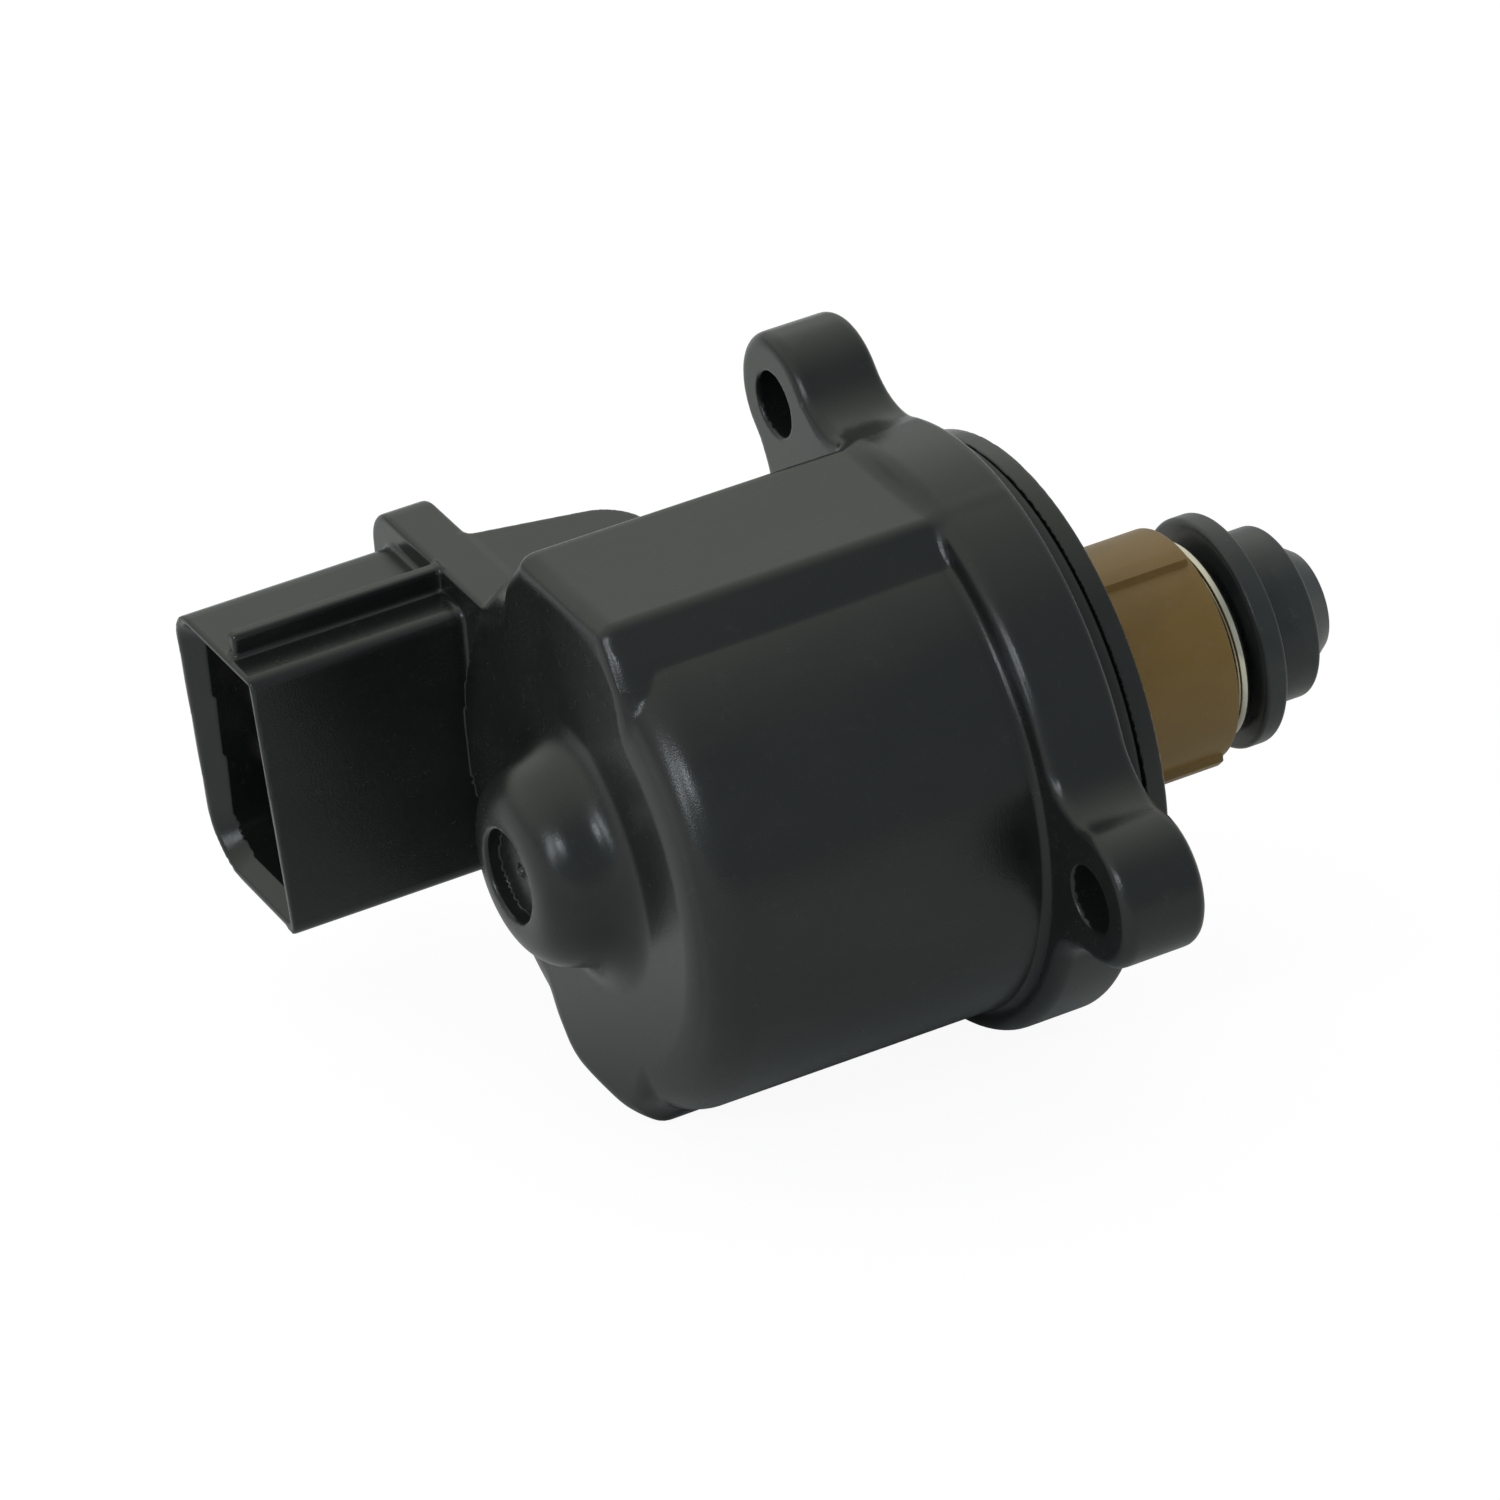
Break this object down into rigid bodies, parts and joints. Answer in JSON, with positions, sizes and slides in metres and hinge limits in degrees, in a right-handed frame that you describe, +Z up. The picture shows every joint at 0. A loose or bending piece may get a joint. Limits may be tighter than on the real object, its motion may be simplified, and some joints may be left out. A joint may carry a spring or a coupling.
{
  "type": "idle air control valve",
  "caption": "Stepper motor idle air valve: a flanged plastic body with a hooded electrical socket and a spring-loaded pintle that slides in and out to meter bypass air.",
  "frame": {"origin": "where the valve axis meets the mounting face of the flange", "axes": "+X along the valve axis, out through the pintle; +Y from the valve axis towards the electrical connector; +Z up, so that the latch rib is on top of the connector"},
  "size_m": [0.0688, 0.0589, 0.0429],
  "materials": {
    "body_plastic": "moulded, satin gloss",
    "seal_rubber": "smooth",
    "terminal_tin": "tin plated",
    "yoke_steel": "zinc plated sheet",
    "bobbin_plastic": "moulded",
    "coil_copper": "enamelled wire",
    "bearing_steel": "ground",
    "magnet_ferrite": "sintered",
    "nut_brass": "turned",
    "screw_steel": "rolled",
    "guide_plastic": "moulded, glass filled",
    "spring_steel": "bright wire",
    "head_plastic": "moulded, satin"
  },
  "bodies": {
    "housing": {"housing": "body_plastic", "o_ring": "seal_rubber", "terminal_1": "terminal_tin", "terminal_2": "terminal_tin", "terminal_3": "terminal_tin", "terminal_4": "terminal_tin", "terminal_5": "terminal_tin", "terminal_6": "terminal_tin", "rear_outer_yoke": "yoke_steel", "rear_inner_yoke": "yoke_steel", "front_inner_yoke": "yoke_steel", "front_outer_yoke": "yoke_steel", "rear_bobbin": "bobbin_plastic", "front_bobbin": "bobbin_plastic", "rear_winding": "coil_copper", "front_winding": "coil_copper", "preload_washer": "bearing_steel", "rear_bearing_outer_race": "bearing_steel", "front_bearing_outer_race": "bearing_steel", "guide_sleeve": "guide_plastic"},
    "rotor": {"rotor_magnet": "magnet_ferrite", "rotor_nut": "nut_brass", "rear_bearing_inner_race": "bearing_steel", "front_bearing_inner_race": "bearing_steel", "rear_bearing_balls": "bearing_steel", "front_bearing_balls": "bearing_steel"},
    "pintle": {"lead_screw": "screw_steel", "valve_head": "head_plastic", "spring": "spring_steel"}
  },
  "joints": [
    {"name": "rotor_spin", "type": "hinge", "parent": "housing", "child": "rotor", "pos_m": [-0.018, 0, 0], "axis": [1, 0, 0], "range_deg": [-719, 2159]},
    {"name": "pintle_slide", "type": "slide", "parent": "housing", "child": "pintle", "axis": [1, 0, 0], "range_m": [-0.002, 0.006], "deforming": ["spring"]}
  ],
  "couplings": [
    {"joint": "pintle_slide", "follows": "rotor_spin", "m_per_rad": 0.00015915}
  ]
}
